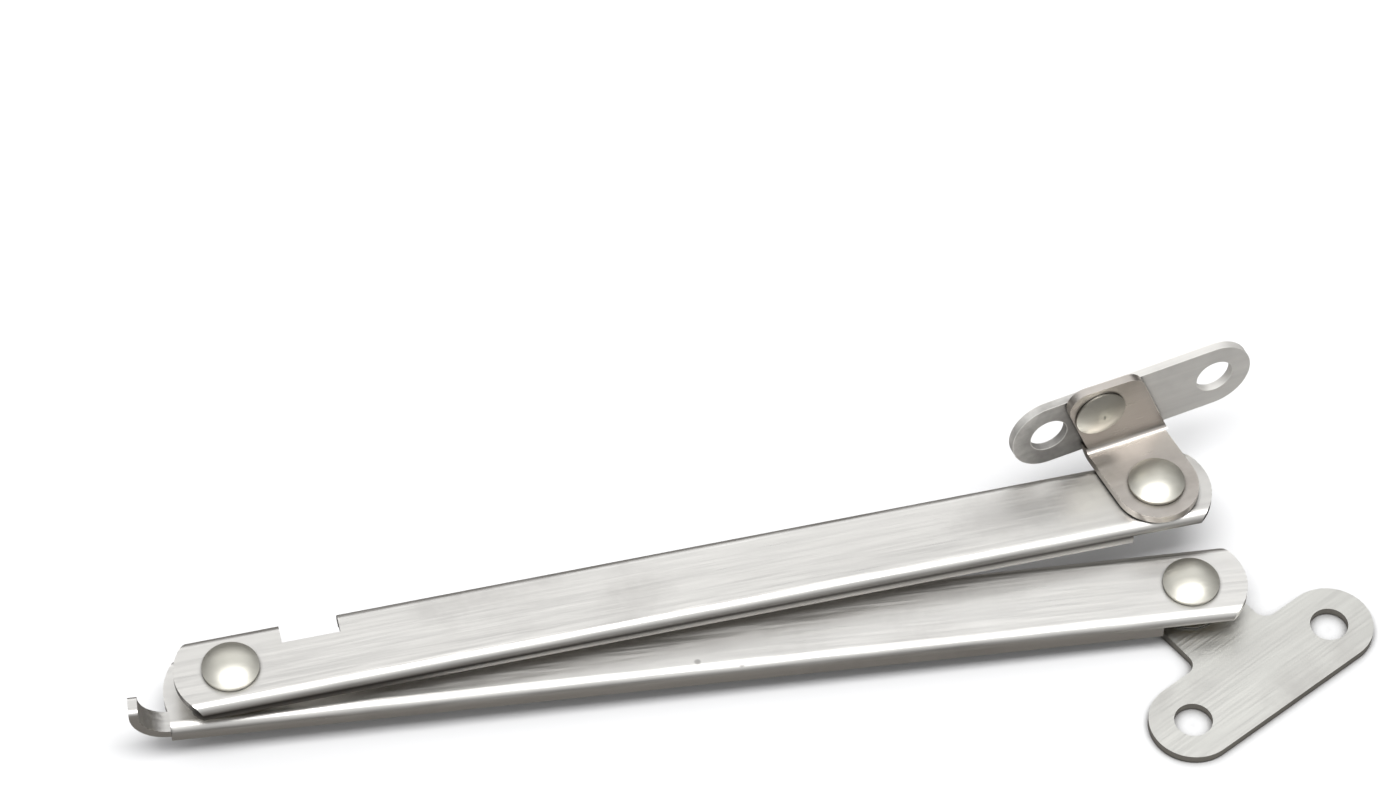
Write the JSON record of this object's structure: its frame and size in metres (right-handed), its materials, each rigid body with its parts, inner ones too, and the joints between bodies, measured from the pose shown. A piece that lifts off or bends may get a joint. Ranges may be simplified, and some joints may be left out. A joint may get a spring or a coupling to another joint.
{
  "type": "folding friction stay",
  "caption": "Folding stay for a window or lid: two channel arms on friction rivets, a T plate for the frame and a bracket with a screw plate for the sash.",
  "frame": {"origin": "midway between the frame plate's two screw holes, on its back face", "axes": "+Z out of the frame plate's front, towards the arms; +X along the lower arm, from the elbow to the frame pivot"},
  "size_m": [0.1618, 0.0518, 0.0226],
  "materials": {
    "arm_steel": "brushed along the arm",
    "plate_steel": "satin",
    "bracket_steel": "satin",
    "rivet_steel": "pressed smooth",
    "washer_steel": "plain",
    "friction_brass": "plain"
  },
  "bodies": {
    "frame_end": {"frame_plate": "plate_steel", "frame_rivet": "rivet_steel", "frame_spring_washer": "washer_steel", "frame_spacer": "washer_steel", "frame_friction_washer": "friction_brass"},
    "lower": {"lower_arm": "arm_steel", "elbow_rivet": "rivet_steel", "elbow_backing_washer": "washer_steel", "elbow_spring_washer": "washer_steel", "elbow_spacer": "washer_steel", "elbow_friction_washer": "friction_brass"},
    "upper": {"upper_arm": "arm_steel", "sash_rivet": "rivet_steel", "sash_spring_washer": "washer_steel", "sash_backing_washer": "washer_steel", "sash_friction_washer": "friction_brass"},
    "bracket": {"sash_bracket": "bracket_steel"},
    "sash_end": {"sash_plate": "plate_steel", "swivel_rivet": "rivet_steel", "swivel_friction_washer": "friction_brass"}
  },
  "joints": [
    {"name": "frame_pivot", "type": "hinge", "parent": "frame_end", "child": "lower", "pos_m": [-0.00733, 0.01205, 0.005], "axis": [0, 0, 1], "range_deg": [-165, 50]},
    {"name": "elbow", "type": "hinge", "parent": "lower", "child": "upper", "pos_m": [-0.13233, 0.01205, 0.009], "axis": [0, 0, 1], "range_deg": [-1, 174.2]},
    {"name": "sash_pivot", "type": "hinge", "parent": "upper", "child": "bracket", "pos_m": [-0.00995, 0.02448, 0.011], "axis": [0, 0, 1], "range_deg": [-100, 0]},
    {"name": "plate_swivel", "type": "hinge", "parent": "bracket", "child": "sash_end", "pos_m": [-0.01657, 0.03174, 0.01828], "axis": [0.2481, -0.9662, 0.0698], "range_deg": [-10, 60]}
  ]
}
